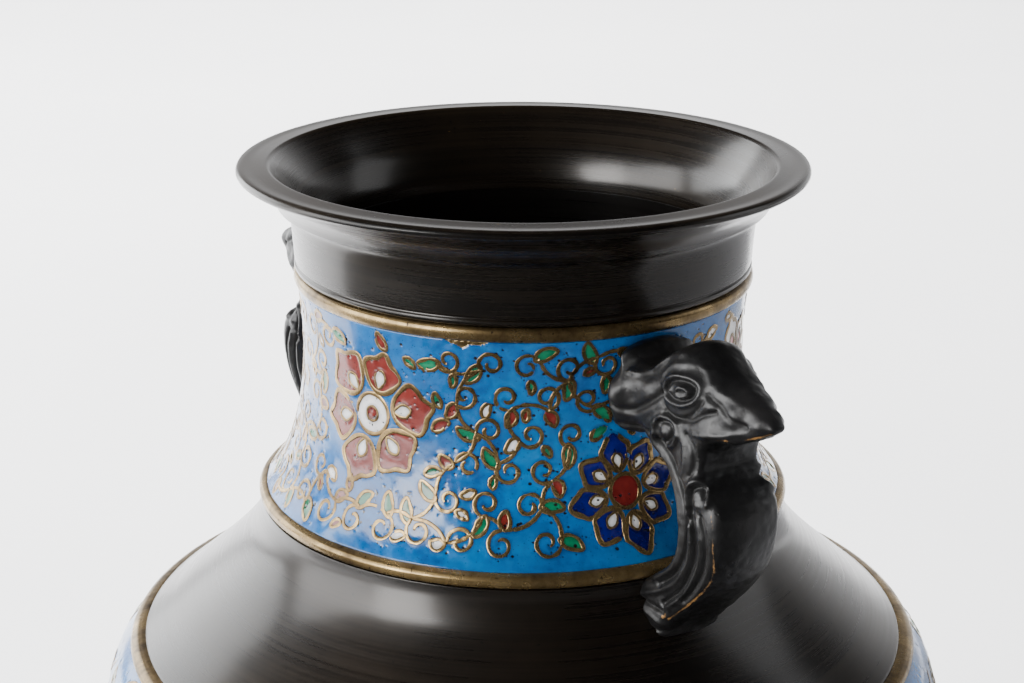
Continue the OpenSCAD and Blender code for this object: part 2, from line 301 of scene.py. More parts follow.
def bronze_cast(name):
    """Cast bronze of the handles: granular black patina, gloss on the high points, brass where the edges have worn."""
    m, nt, bs = nodes_of(name)
    bs.inputs["Metallic"].default_value = 0.35
    bs.inputs["Coat Weight"].default_value = 0.35
    bs.inputs["Coat Roughness"].default_value = 0.34
    bs.inputs["IOR"].default_value = 1.6
    grain = noise(nt, (1, 1, 1), 1500, 3, 0.6)
    lump = noise(nt, (1, 1, 1), 420, 4, 0.6)
    cloud = noise(nt, (1, 1, 1), 90, 5, 0.6)
    base = ramp(nt, cloud, [(0.3, (0.0035, 0.0034, 0.0037)), (0.55, (0.0085, 0.0083, 0.0088)), (0.75, (0.018, 0.0165, 0.0165))])
    hole = noise(nt, (1, 1, 1), 760, 3, 0.6)
    base = mixc(nt, ramp(nt, hole, [(0.27, gray(1.0)), (0.34, gray(0.0))]), base, (0.0015, 0.0014, 0.0013))
    worn = add(nt, "ShaderNodeAttribute", attribute_name="worn").outputs["Fac"]
    hollow = add(nt, "ShaderNodeAttribute", attribute_name="hollow").outputs["Fac"]
    base = mixc(nt, hollow, base, (0.003, 0.0026, 0.0025))
    rub = math_node(nt, "ADD", worn, math_node(nt, "MULTIPLY", math_node(nt, "SUBTRACT", lump, 0.5), 1.1))
    rubm = ramp(nt, rub, [(0.66, gray(0.0)), (0.92, gray(0.85))])
    base = mixc(nt, rubm, base, (0.34, 0.17, 0.045))
    nt.links.new(base, bs.inputs["Base Color"])
    rg = remap(nt, math_node(nt, "ADD", math_node(nt, "MULTIPLY", lump, 0.5), math_node(nt, "MULTIPLY", cloud, 0.5)), 0.32, 0.68, 0.34, 0.54)
    nt.links.new(math_node(nt, "ADD", rg, math_node(nt, "MULTIPLY", hollow, 0.3), clamp=True), bs.inputs["Roughness"])
    b1 = bump(nt, grain, 0.35, 0.00010)
    b2 = bump(nt, lump, 0.30, 0.00022, b1)
    b3 = bump(nt, ramp(nt, hole, [(0.25, gray(0.0)), (0.36, gray(1.0))]), 0.5, 0.00016, b2)
    nt.links.new(b3, bs.inputs["Normal"])
    return m


def brass(name, dark=(0.055, 0.032, 0.012), bright=(0.46, 0.32, 0.14), rough=(0.22, 0.38), turned=True):
    m, nt, bs = nodes_of(name)
    bs.inputs["Metallic"].default_value = 0.9
    bs.inputs["Coat Weight"].default_value = 0.25
    bs.inputs["Coat Roughness"].default_value = 0.2
    tarnish = noise(nt, (1, 1, 1), 170, 6, 0.65)
    broad = noise(nt, (1, 1, 1), 24, 3, 0.5)
    line = noise(nt, (8, 8, 1800) if turned else (700, 700, 700), 1.0, 3, 0.6)
    t = math_node(nt, "ADD", math_node(nt, "MULTIPLY", tarnish, 0.6), math_node(nt, "MULTIPLY", broad, 0.4))
    base = ramp(nt, t, [(0.36, dark), (0.50, tuple((d + b) / 2 for d, b in zip(dark, bright))), (0.62, bright)])
    pit = noise(nt, (1, 1, 1), 1100, 2, 0.5)
    base = mixc(nt, ramp(nt, pit, [(0.26, gray(1.0)), (0.31, gray(0.0))]), base, (0.015, 0.009, 0.005))
    nt.links.new(base, bs.inputs["Base Color"])
    nt.links.new(remap(nt, tarnish, 0.35, 0.65, rough[1], rough[0]), bs.inputs["Roughness"])
    b1 = bump(nt, line, 0.25, 0.00006)
    nt.links.new(bump(nt, pit, 0.25, 0.00006, b1), bs.inputs["Normal"])
    return m


def enamel(name, lo, hi, cloud_to=None, rough=(0.13, 0.26), pits=True):
    """Ground and polished opaque enamel: clouded colour, tiny bubbles, black pits beside the wires."""
    m, nt, bs = nodes_of(name)
    bs.inputs["IOR"].default_value = 1.56
    bs.inputs["Coat Weight"].default_value = 0.6
    bs.inputs["Coat Roughness"].default_value = 0.10
    broad = noise(nt, (1, 1, 1), 95, 5, 0.6)
    mott = noise(nt, (1, 1, 1), 520, 4, 0.6)
    t = math_node(nt, "ADD", math_node(nt, "MULTIPLY", broad, 0.6), math_node(nt, "MULTIPLY", mott, 0.4))
    base = ramp(nt, t, [(0.36, lo), (0.64, hi)])
    if cloud_to is not None:
        base = mixc(nt, ramp(nt, noise(nt, (1, 1, 1), 60, 4, 0.5), [(0.5, gray(0.0)), (0.8, gray(0.55))]), base, cloud_to)
    if pits:
        edge = add(nt, "ShaderNodeAttribute", attribute_name="edge").outputs["Fac"]
        base = mixc(nt, math_node(nt, "MULTIPLY", edge, 0.5), base, tuple(c * 0.35 for c in lo))
        pit = add(nt, "ShaderNodeAttribute", attribute_name="pit").outputs["Fac"]
        base = mixc(nt, ramp(nt, pit, [(0.35, gray(0.0)), (0.6, gray(1.0))]), base, (0.006, 0.006, 0.007))
    bub = add(nt, "ShaderNodeTexVoronoi", feature="F1")
    setin(bub, Scale=1150.0)
    nt.links.new(coords(nt, (1, 1, 1)), bub.inputs["Vector"])
    base = mixc(nt, ramp(nt, bub.outputs["Distance"], [(0.10, gray(0.55)), (0.17, gray(0.0))]), base, tuple(c * 0.25 for c in lo))
    nt.links.new(base, bs.inputs["Base Color"])
    nt.links.new(remap(nt, mott, 0.35, 0.65, rough[0], rough[1]), bs.inputs["Roughness"])
    b1 = bump(nt, broad, 0.30, 0.00045)
    nt.links.new(bump(nt, mott, 0.14, 0.00010, b1), bs.inputs["Normal"])
    return m


M_LIP = bronze_turned("bronze_lip", warm=(0.020, 0.0135, 0.0075), gold=0.1)
M_TURNED = bronze_turned("bronze_turned")
M_INSIDE = bronze_turned("bronze_inside", dark=(0.0025, 0.0022, 0.0022), warm=(0.008, 0.006, 0.005), rough=(0.24, 0.40), metal=0.45, coat=0.25)
M_CAST = bronze_cast("bronze_cast")
M_BRASS = brass("brass_ring")
M_WIRE = brass("brass_wire", dark=(0.085, 0.048, 0.016), bright=(0.54, 0.37, 0.16), rough=(0.18, 0.32), turned=False)
M_TURQ = enamel("enamel_turquoise", (0.0, 0.048, 0.185), (0.0, 0.118, 0.355), cloud_to=(0.0, 0.150, 0.38))
M_RED = enamel("enamel_red", (0.10, 0.009, 0.007), (0.205, 0.024, 0.017))
M_MAROON = enamel("enamel_maroon", (0.085, 0.008, 0.008), (0.15, 0.014, 0.012))
M_WHITE = enamel("enamel_white", (0.50, 0.50, 0.51), (0.76, 0.76, 0.75))
M_GREEN = enamel("enamel_green", (0.0, 0.085, 0.038), (0.002, 0.19, 0.085))
M_COBALT = enamel("enamel_cobalt", (0.002, 0.002, 0.055), (0.004, 0.005, 0.15))
M_PINK = enamel("enamel_pink", (0.50, 0.16, 0.19), (0.66, 0.30, 0.32))
M_PALE = enamel("enamel_pale", (0.42, 0.52, 0.44), (0.62, 0.68, 0.60))

# ------------------------------------------------------------------ turned bodies
def L(*parts):
    return np.vstack([np.array(p, float).reshape(-1, 2) for p in parts])


rim = L([[53.5, -0.02], [54.6, -0.12], [57.0, -0.28], [59.0, -0.22], [59.7, -0.45]],
        spline([[60.0, -1.0], [59.85, -1.7], [58.6, -2.5], [56.4, -3.6], [54.2, -5.2], [52.6, -7.0], [51.7, -8.5]], 5),
        spline([[51.2, -8.75], [50.1, -9.3], [49.4, -10.2], [49.0, -12], [48.7, -15], [48.45, -19], [48.35, -20.3]], 4), [[48.05, -20.5], [48.1, -20.8]], spline([[48.4, -21.1], [48.45, -21.6], [48.2, -22.1]], 3),
        [[47.8, -22.3], [47.3, -22.38], [46.46, -22.4], [46.46, -17.52], [43.63, -17.52], [43.6, -17.5]],
        spline([[43.6, -17.4], [44.2, -14], [46.2, -9.4], [48.9, -5.5], [51.4, -2.2], [52.9, -0.45]], 6))
lip = lathe("mouth_rim_turned", rim, [M_LIP], 0.35, wobble=0.05, longest=1.0)
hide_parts("mouth_rim")

ring = lathe("neck_ring_upper_turned", [[46.46, -22.46], [47.9, -22.46], [48.45, -22.8], [48.75, -23.4], [48.75, -24.2], [48.5, -24.95], [48.0, -25.44], [46.46, -25.44]], [M_BRASS], 0.25, longest=0.6, wobble=0.06, seed=3)
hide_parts("neck_ring_upper")
ring = lathe("neck_ring_lower_turned", [[54.56, -70.06], [56.0, -70.06], [57.0, -70.5], [57.5, -71.2], [57.5, -72.1], [57.1, -72.8], [56.4, -73.12], [54.56, -73.12]], [M_BRASS], 0.25, longest=0.6, wobble=0.06, seed=4)
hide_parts("neck_ring_lower")
ring = lathe("belly_ring_upper_turned", [[80.3, -103.66], [84.0, -103.66], [85.3, -103.95], [86.3, -104.55], [86.75, -105.3], [86.5, -105.74], [80.3, -105.74]], [M_BRASS], 0.25, longest=0.6, wobble=0.06, seed=5)
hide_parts("belly_ring_upper")
ring = lathe("belly_ring_lower_turned", [[81.9, -160.06], [84.0, -160.06], [84.5, -160.6], [84.5, -161.5], [84.0, -162.4], [83.1, -162.94], [81.9, -162.94]], [M_BRASS], 0.25, longest=0.6, wobble=0.06, seed=6)
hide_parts("belly_ring_lower")

sn = spline(NECK, 6)
neck_in = np.array([[r - 4.2, z] for r, z in sn if -69 < z < -28])[::-1]
wall = lathe("neck_wall", L([[46.4, -17.6], [46.4, -25.5]], sn - [1.2, 0], [[54.5, -73.1], [54.5, -77.4], [50.6, -77.4], [50.6, -72]], neck_in, [[43.6, -27], [43.6, -17.6], [43.63, -17.56]]), [M_INSIDE], 0.2)
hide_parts("neck_shell")
ss = spline(SHOULDER, 8)
sh_in = np.array([[r - 3.6, z] for r, z in ss if -98 < z < -84])[::-1]
sh = lathe("shoulder_turned", L(ss, [[83.5, -103.6], [80.2, -103.6], [80.2, -107], [77.4, -107], [76.4, -103]], sh_in, [[54.55, -78.6], [54.55, -73.2]]), [M_TURNED], 0.25, wobble=0.07, seed=9)
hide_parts("shoulder_shell")
sb = spline(BELLY, 6)
be_in = np.array([[r - 4.2, z] for r, z in sb if -158 < z < -112])[::-1]
bw = lathe("belly_wall", L([[80.25, -105.8]], sb - [1.2, 0], [[81.4, -163], [80.4, -163], [80.4, -168], [77.6, -168], [77.8, -162]], be_in, [[80.25, -109.5]]), [M_INSIDE], 0.2)
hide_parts("belly_shell")
sl = spline(LOWER, 8)
lo_in = np.array([[r - 3.4, z] for r, z in sl if -242 < z < -170])[::-1]
lb = lathe("lower_body_turned", L(sl, [[43.6, -253.4], [40.6, -253.4], [40.6, -247.5]], lo_in, [[77.2, -168.5], [80.45, -168.5], [80.45, -163.05], [82.5, -163.05]]), [M_TURNED], 0.3, wobble=0.07, seed=10)
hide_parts("lower_body")
ft = lathe("foot_turned", L(spline(FOOT, 6), [[61.0, -293], [61.0, -299.3], [60.3, -300], [55.7, -300], [55.6, -291], [54, -288], [49, -282], [43.8, -274], [40.6, -266], [40, -260], [40, -253.45]]), [M_LIP], 0.4, wobble=0.05, seed=11)
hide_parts("foot")
for n in ("base_plate", "rivets_right", "rivets_left"):
    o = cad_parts[n]
    o.data.materials.clear()
    o.data.materials.append(M_INSIDE)


# ------------------------------------------------------------------ enamel bands
def closed_curve(pts, per=6):
    return spline(pts, per, closed=True)


def inside(poly, x, y):
    """Even-odd test of grid points against a polygon."""
    hit = np.zeros(x.shape, bool)
    n = len(poly)
    for i in range(n):
        x0, y0 = poly[i - 1]
        x1, y1 = poly[i]
        if y0 == y1:
            continue
        c = (y0 > y) != (y1 > y)
        hit ^= c & (x < (x1 - x0) * (y - y0) / (y1 - y0) + x0)
    return hit


def resample(path, step, ref, closed):
    """Even samples, step mm apart, along a path in (degrees, depth)."""
    q = np.array(path, float)
    if closed:
        q = np.vstack([q, q[:1]])
    k = math.radians(1) * ref(q[:, 1].mean())
    m = q * [k, 1]
    seg = np.linalg.norm(np.diff(m, axis=0), axis=1)
    s = np.concatenate([[0], np.cumsum(seg)])
    n = max(4, int(round(s[-1] / step)))
    t = np.linspace(0, s[-1], n + (0 if closed else 1), endpoint=not closed)
    return np.stack([np.interp(t, s, q[:, 0]), np.interp(t, s, q[:, 1])], 1)


def wavy(n, rng, closed, waves=5):
    """A smooth random run of n values, about -1 to 1."""
    t = np.linspace(0, 2 * math.pi, n, endpoint=not closed)
    v = np.zeros(n)
    for k in range(1, waves + 1):
        v += rng.normal() * np.cos(k * t + rng.uniform(0, 6.28)) / math.sqrt(waves)
    return v


def band(tag, ref, z_top, z_bot, cells, wires, colours, turns, step, seed, chips=()):
    """Enamel surface split by colour, and the wires between the colours."""
    rng = np.random.default_rng(seed)
    zz = np.linspace(z_top, z_bot, 2000)
    arc = np.concatenate([[0], np.cumsum(np.hypot(np.diff(zz), np.diff(ref(zz))))])
    rows = int(arc[-1] / step) + 1
    zs = np.interp(np.linspace(0, arc[-1], rows), arc, zz)
    da = 360.0 / turns
    names = list(colours)
    ids = np.zeros((turns, rows - 1), np.int8)
    zc = (zs[1:] + zs[:-1]) / 2

    def paint(poly, k):
        c0, c1 = int(math.floor(poly[:, 0].min() / da)) - 1, int(math.ceil(poly[:, 0].max() / da)) + 1
        rr = np.where((zc <= poly[:, 1].max()) & (zc >= poly[:, 1].min()))[0]
        if not len(rr):
            return
        cols = np.arange(c0, c1 + 1)
        x = (cols[:, None] + 0.5) * da + np.zeros((1, len(rr)))
        y = zc[rr][None, :] + np.zeros((len(cols), 1))
        hit = inside(poly, x, y)
        sub = ids[np.ix_(cols % turns, rr)]
        sub[hit] = k
        ids[np.ix_(cols % turns, rr)] = sub

    runs = []
    for kind, pts, width in cells:
        poly = closed_curve(pts)
        paint(poly, names.index(kind))
        runs.append((resample(poly, 0.32, ref, True), True, width))
    for pts in chips:
        paint(closed_curve(pts), names.index("chip"))
    for pts, width in wires:
        runs.append((resample(spline(pts, 8), 0.32, ref, False), False, width))

    # distance from every grid point to the nearest wire
    D = np.full((turns, rows), 9.0, np.float32)
    for path, closed, width in runs:
        for a, z in path:
            if not (z_bot - 1 < z < z_top + 1):
                continue
            k = math.radians(1) * float(ref(z))
            w = int(1.5 / (k * da)) + 1
            c = int(round(a / da))
            cols = np.arange(c - w, c + w + 1)
            r0, r1 = np.searchsorted(-zs, -(z + 1.5)), np.searchsorted(-zs, -(z - 1.5))
            if r1 <= r0:
                continue
            d = np.sqrt(((cols[:, None] * da - a) * k) ** 2 + (zs[None, r0:r1] - z) ** 2)
            cc = cols % turns
            if cc[0] < cc[-1]:
                D[cc[0]:cc[-1] + 1, r0:r1] = np.minimum(D[cc[0]:cc[-1] + 1, r0:r1], d)
            else:
                D[np.ix_(cc, np.arange(r0, r1))] = np.minimum(D[np.ix_(cc, np.arange(r0, r1))], d)

    aa = np.arange(turns) * da
    h = 0.02 - 0.075 * (1 - np.exp(-np.maximum(D - 0.4, 0) / 0.45))
    ph = rng.uniform(0, 6.28, 12)
    for i in range(12):
        k, q = rng.integers(3, 40), rng.uniform(0.1, 0.9)
        h = h + 0.010 * np.cos(k * np.radians(aa)[:, None] + q * zs[None, :] + ph[i])
    pit = np.zeros_like(D)
    wanted = int(turns * rows * step * step * 1.15 / 9)
    for _ in range(wanted):
        for _try in range(6):
            c, r = int(rng.integers(0, turns)), int(rng.integers(2, rows - 2))
            if 0.42 < D[c, r] < (0.95 if rng.uniform() < 0.7 else 9):
                break
        rad = rng.uniform(0.26, 0.46) if rng.uniform() < 0.35 else rng.uniform(0.14, 0.26)
        k = math.radians(1) * float(ref(zs[r]))
        w = int(2.2 * rad / (k * da)) + 2
        cols = np.arange(c - w, c + w + 1)
        q0, q1 = max(0, r - w), min(rows, r + w + 1)
        d = np.sqrt((((cols - c) * da * k)[:, None]) ** 2 + ((zs[None, q0:q1] - zs[r]) * (1 + 0.5 * rng.uniform())) ** 2)
        e = np.exp(-(d / rad) ** 2)
        ix = np.ix_(cols % turns, np.arange(q0, q1))
        pit[ix] = np.maximum(pit[ix], e)
    h = h - 0.16 * pit
    edge = np.clip(1 - (D - 0.42) / 0.42, 0, 1)
    if "chip" in names:
        ci = names.index("chip")
        m = np.zeros((turns, rows), bool)
        m[:, :-1] |= ids == ci
        m[:, 1:] |= ids == ci
        h = np.where(m, -0.42 + 0.22 * rng.random(h.shape), h)
    R = ref(zs)[None, :] + h
    A = np.radians(aa)[:, None]
    V = np.stack([R * np.cos(A), R * np.sin(A), np.broadcast_to(zs[None, :] + T, R.shape)], -1).reshape(-1, 3) * MM
    i = np.arange(turns)[:, None]
    j = np.arange(rows - 1)[None, :]
    F = np.stack([i * rows + j, i * rows + j + 1, ((i + 1) % turns) * rows + j + 1, ((i + 1) % turns) * rows + j], -1)
    for name in names:
        piece, mats, slot, nodes, ks = colours[name]
        if piece is None:
            continue
        sel = np.isin(ids, [names.index(k) for k in ks])
        if not sel.any():
            continue
        f = F[sel]
        fm = np.zeros(len(f), int)
        for t, kk in enumerate(ks):
            fm[ids[sel] == names.index(kk)] = t
        used, inv = np.unique(f, return_inverse=True)
        ob = new_object(piece, V[used], inv.reshape(f.shape), mats, face_mat=fm)
        for an, arr in (("pit", pit), ("edge", edge)):
            at = ob.data.attributes.new(an, "FLOAT", "POINT")
            at.data.foreach_set("value", arr.reshape(-1)[used].astype(np.float32))
        so = ob.modifiers.new("thickness", "SOLIDIFY")
        so.thickness = 0.0008
        so.offset = -1.0
        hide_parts(*nodes)

    # the wires: flattened half-round ribbons standing just proud of the enamel
    verts, faces, base = [], [], 0
    for path, closed, width in runs:
        q = path[(path[:, 1] < z_top + 0.2) & (path[:, 1] > z_bot - 0.2)] if not closed else np.column_stack([path[:, 0], np.clip(path[:, 1], z_bot, z_top)])
        n = len(q)
        if n < 3:
            continue
        A, z = np.radians(q[:, 0]), q[:, 1]
        r = ref(z)
        P = np.stack([r * np.cos(A), r * np.sin(A), z + T], -1)
        slope = (ref(z + 0.1) - ref(z - 0.1)) / 0.2
        N = np.stack([np.cos(A), np.sin(A), -slope], -1)
        N /= np.linalg.norm(N, axis=1)[:, None]
        if closed:
            Tn = np.roll(P, -1, 0) - np.roll(P, 1, 0)
        else:
            Tn = np.gradient(P, axis=0)
        Tn /= np.linalg.norm(Tn, axis=1)[:, None] + 1e-9
        B = np.cross(N, Tn)
        wd = width * (1 + 0.13 * wavy(n, rng, closed, 7))
        if not closed:
            e = np.minimum(np.arange(n), np.arange(n)[::-1]) * 0.32
            wd = wd * np.clip(0.55 + e * 0.45, 0.55, 1)
        hh = 0.05 + 0.025 * wavy(n, rng, closed, 6)
        sec = [(-0.5, -0.35), (-0.5, 0.1), (-0.43, 0.75), (-0.28, 1.0), (0.28, 1.0), (0.43, 0.75), (0.5, 0.1), (0.5, -0.35)]
        m = len(sec)
        ringv = np.stack([P + B * (wd * u)[:, None] + N * (np.where(v > 0, v * (0.03 + hh), v))[:, None] for u, v in [(u, np.full(n, v)) for u, v in sec]], 1)
        verts.append(ringv.reshape(-1, 3))
        a = np.arange(n if closed else n - 1)[:, None]
        b = np.arange(m)[None, :]
        a2 = (a + 1) % n
        faces.append(base + np.stack([a * m + b, a2 * m + b, a2 * m + (b + 1) % m, a * m + (b + 1) % m], -1).reshape(-1, 4))
        if not closed:
            for k, flip in ((0, False), (n - 1, True)):
                for t in ((0, 1, 2, 3), (0, 3, 4, 7), (4, 5, 6, 7)):
                    t = [base + k * m + x for x in t]
                    faces.append(np.array([t if flip else t[::-1]]))
        base += n * m
    w = new_object("wires_" + tag, np.vstack(verts) * MM, np.vstack(faces)[:, ::-1], [M_WIRE])
    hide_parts(tag + "_cloisons")


def flower(cells, wires, a, z, r, n, petal_kind, ref, turn=0.0, drop="white", disc="white", heart="red", lobes=True, wide=1.0):
    """A lotus-like flower: n petals with a white drop in each, round a ringed disc."""
    k = 1 / (math.radians(1) * float(ref(z)))

    def put(pts, th):
        c, s = math.cos(th), math.sin(th)
        return [(a + (x * c - y * s) * k, z + x * s + y * c) for x, y in pts]

    half = math.pi / n * 0.96
    for i in range(n):
        th = turn + i * 2 * math.pi / n
        w = lambda t: t * r * math.sin(half) * wide
        tip = [(0.36, 0), (0.42, 0.72 * w(0.42) / r), (0.58, 0.92 * w(0.60) / r), (0.72, 0.98 * w(0.66) / r), (0.82, 0.70 * w(0.66) / r)]
        tip += ([(0.87, 0.40 * w(0.66) / r), (1.0, 0.0)] if lobes else [(0.95, 0.32 * w(0.66) / r), (1.0, 0.0)])
        pts = [(x * r, y * r) for x, y in tip] + [(x * r, -y * r) for x, y in tip[-2:0:-1]]
        sway = 1 + 0.05 * math.sin(3.1 * i + turn * 7), 1 + 0.07 * math.cos(2.3 * i + turn * 5)
        pts = [(x * sway[0], y * sway[1]) for x, y in pts]
        cells.append((petal_kind, put(pts, th), WIRE * 1.08))
        if drop:
            cells.append((drop, put([(0.40 * r, 0), (0.50 * r, 0.075 * r), (0.60 * r, 0.085 * r), (0.68 * r, 0.0), (0.60 * r, -0.085 * r), (0.50 * r, -0.075 * r)], th), WIRE * 0.62))
    ring = [(0.29 * r * math.cos(t), 0.29 * r * math.sin(t)) for t in np.linspace(0, 2 * math.pi, 10, endpoint=False)]
    cells.append((disc, put(ring, 0), WIRE * 0.9))
    if heart:
        cells.append((heart, put([(x * 0.36, y * 0.36) for x, y in ring], 0), WIRE * 0.55))


def leaf(cells, a, z, length, width, turn, kind, ref):
    k = 1 / (math.radians(1) * float(ref(z)))
    c, s = math.cos(turn), math.sin(turn)
    pts = [(-0.5, 0), (-0.28, 0.42), (0.05, 0.5), (0.34, 0.30), (0.5, -0.12), (0.2, -0.30), (-0.2, -0.34)]
    cells.append((kind, [(a + (x * length * c - y * width * s) * k, z + x * length * s + y * width * c) for x, y in pts], WIRE * 0.8))


def curl(wires, a, z, r, start, sweep, ref, tail=None):
    """A scroll that winds in to its eye, with an optional tail that leads to it."""
    k = 1 / (math.radians(1) * float(ref(z)))
    pts = []
    if tail is not None:
        pts += tail
    n = 11
    for i in range(n + 1):
        t = i / n
        q = r * (1 - 0.72 * t)
        th = start + sweep * t
        pts.append((a + q * math.cos(th) * k, z + q * math.sin(th)))
    wires.append((pts, WIRE * 0.85))


def scroll_fill(cells, wires, ref, z_top, z_bot, flowers, span, start, seed, r=2.7, gap=7.7):
    """A running scroll between the flowers: curls on a loose lattice, joined by stems, with a leaf or bud at each curl's foot."""
    rng = np.random.default_rng(seed)
    zm = (z_top + z_bot) / 2
    k = math.radians(1) * float(ref(zm))
    width = span * k
    cols = int(round(width / gap))
    rows = int((z_top - z_bot - 2 * r) / (gap * 0.86)) + 1
    cen = []
    for row in range(rows):
        z = z_top - r - 1.6 - row * (z_top - z_bot - 2 * r - 3.2) / max(1, rows - 1)
        for c in range(cols):
            u = (c + 0.5 * (row % 2)) * width / cols + rng.uniform(-0.9, 0.9)
            zz = z + rng.uniform(-0.6, 0.6)
            near = min(math.hypot((u / k + start - fa + span / 2) % span * k - width / 2, zz - fz) - fr for fa, fz, fr in flowers)
            if near > r + 0.7:
                cen.append((u, zz))
    cen = np.array(cen)

    def far(p, q):
        du = (p[0] - q[0] + width / 2) % width - width / 2
        return math.hypot(du, p[1] - q[1])

    feet, leaves = [], []
    for i, c in enumerate(cen):
        best, pick = -1, 0
        for t in np.arange(12) * math.pi / 6 + rng.uniform(0, 0.5):
            p = (c[0] + 4.4 * math.cos(t), c[1] + 4.4 * math.sin(t))
            d = min([far(p, q) - r for j, q in enumerate(cen) if j != i] + [far(p, q) - 1.5 for q in leaves]
                    + [math.hypot((p[0] / k + start - fa + span / 2) % span * k - width / 2, p[1] - fz) - fr for fa, fz, fr in flowers]
                    + [z_top - p[1] + 0.4, p[1] - z_bot + 0.4])
            if d > best:
                best, pick = d, t
        feet.append((c[0] + r * math.cos(pick), c[1] + r * math.sin(pick), pick))
        leaves.append((c[0] + 4.4 * math.cos(pick), c[1] + 4.4 * math.sin(pick)))
        hand = 1 if (i % 2) else -1
        pts = []
        for s in range(12):
            q = r * (1 - 0.70 * s / 11)
            th = pick + hand * 7.2 * s / 11
            pts.append((start + (c[0] + q * math.cos(th)) / k, c[1] + q * math.sin(th)))
        wires.append((pts, WIRE * 0.85))
        if best > 0.9:
            size = min(1.0, best / 1.9)
            kind = ("green", "green", "red", "white", "green")[int(rng.integers(0, 5))]
            leaf(cells, start + leaves[-1][0] / k, leaves[-1][1], (4.9 if kind == "green" else 3.6) * size, (2.8 if kind == "green" else 2.6) * size, pick + rng.uniform(-0.5, 0.5), kind, ref)
    # buds and small leaves in the gaps that are left
    tries = 0
    while tries < 900:
        tries += 1
        p = (rng.uniform(0, width), rng.uniform(z_bot + 1.6, z_top - 1.6))
        d = min([far(p, q) - r for q in cen] + [far(p, q) - 2.1 for q in leaves]
                + [math.hypot((p[0] / k + start - fa + span / 2) % span * k - width / 2, p[1] - fz) - fr for fa, fz, fr in flowers])
        if d > 1.05:
            leaves.append(p)
            size = min(1.0, d / 1.7)
            kind = ("green", "white", "red", "green")[int(rng.integers(0, 4))]
            leaf(cells, start + p[0] / k, p[1], 4.1 * size, 2.5 * size, rng.uniform(0, 6.2), kind, ref)
    # stems: each curl's foot is joined to its nearest neighbour already on the plant
    on = [0]
    left = list(range(1, len(cen)))
    while left:
        d, i, j = min((far(feet[i], feet[j]), i, j) for i in on for j in left)
        left.remove(j)
        on.append(j)
        if d > gap * 1.7:
            continue
        a = feet[i]
        du = (feet[j][0] - a[0] + width / 2) % width - width / 2
        dz = feet[j][1] - a[1]
        bow = 0.16 * (1 if (i + j) % 2 else -1)
        pts = [(a[0] + du * s - dz * bow * math.sin(math.pi * s), a[1] + dz * s + du * bow * math.sin(math.pi * s)) for s in (0, 0.33, 0.67, 1)]
        wires.append(([(start + u / k, z) for u, z in pts], WIRE * 0.85))


neck_cells, neck_wires = [], []
# centre (degrees, depth), reach, petals and colours of the three flowers in one half of the neck
BLOOMS = [(-77, -44, 14.4), (-13, -57, 11.4), (31, -41, 13.0)]
scroll_fill(neck_cells, neck_wires, NECK_R, -26.2, -69.4, BLOOMS, 180, -112, 5)
flower(neck_cells, neck_wires, *BLOOMS[0], 6, "red", NECK_R, turn=0.25, drop="white", disc="white", heart="red", wide=1.12)
flower(neck_cells, neck_wires, *BLOOMS[1], 8, "cobalt", NECK_R, turn=0.2, drop="white", disc="maroon", heart=None, lobes=False, wide=1.1)
flower(neck_cells, neck_wires, *BLOOMS[2], 8, "white", NECK_R, turn=0.3, drop="pink", disc="red", heart="white")
shift = lambda pts, d: [(a + d, z) for a, z in pts]
neck_cells += [(k, shift(p, 180), w) for k, p, w in list(neck_cells)]
neck_wires += [(shift(p, 180), w) for p, w in list(neck_wires)]
neck_colours = {
    "turquoise": ("enamel_neck_turquoise", [M_TURQ, M_BRASS], "enamel_turquoise", ["neck_enamel_ground"], ["turquoise", "chip"]),
    "chip": (None, None, None, None, None),
    "red": ("enamel_neck_red", [M_RED, M_MAROON, M_PINK], "enamel_red", ["neck_enamel_red"], ["red", "maroon", "pink"]),
    "maroon": (None, None, None, None, None),
    "pink": (None, None, None, None, None),
    "white": ("enamel_neck_white", [M_WHITE], "enamel_white", ["neck_enamel_white"], ["white"]),
    "green": ("enamel_neck_green", [M_GREEN], "enamel_green", ["neck_enamel_green"], ["green"]),
    "cobalt": ("enamel_neck_cobalt", [M_COBALT], "enamel_cobalt", ["neck_enamel_cobalt"], ["cobalt"]),
}
CHIP = [[(-56, -25.3), (-52, -25.3), (-48, -25.4), (-45.5, -25.5), (-47.5, -26.2), (-50, -26.3), (-51.8, -27.1), (-53.2, -26.5), (-55, -26.0)]]
band("neck", NECK_R, -25.5, -70.0, neck_cells, neck_wires, neck_colours, 1230, 0.25, 21, CHIP)

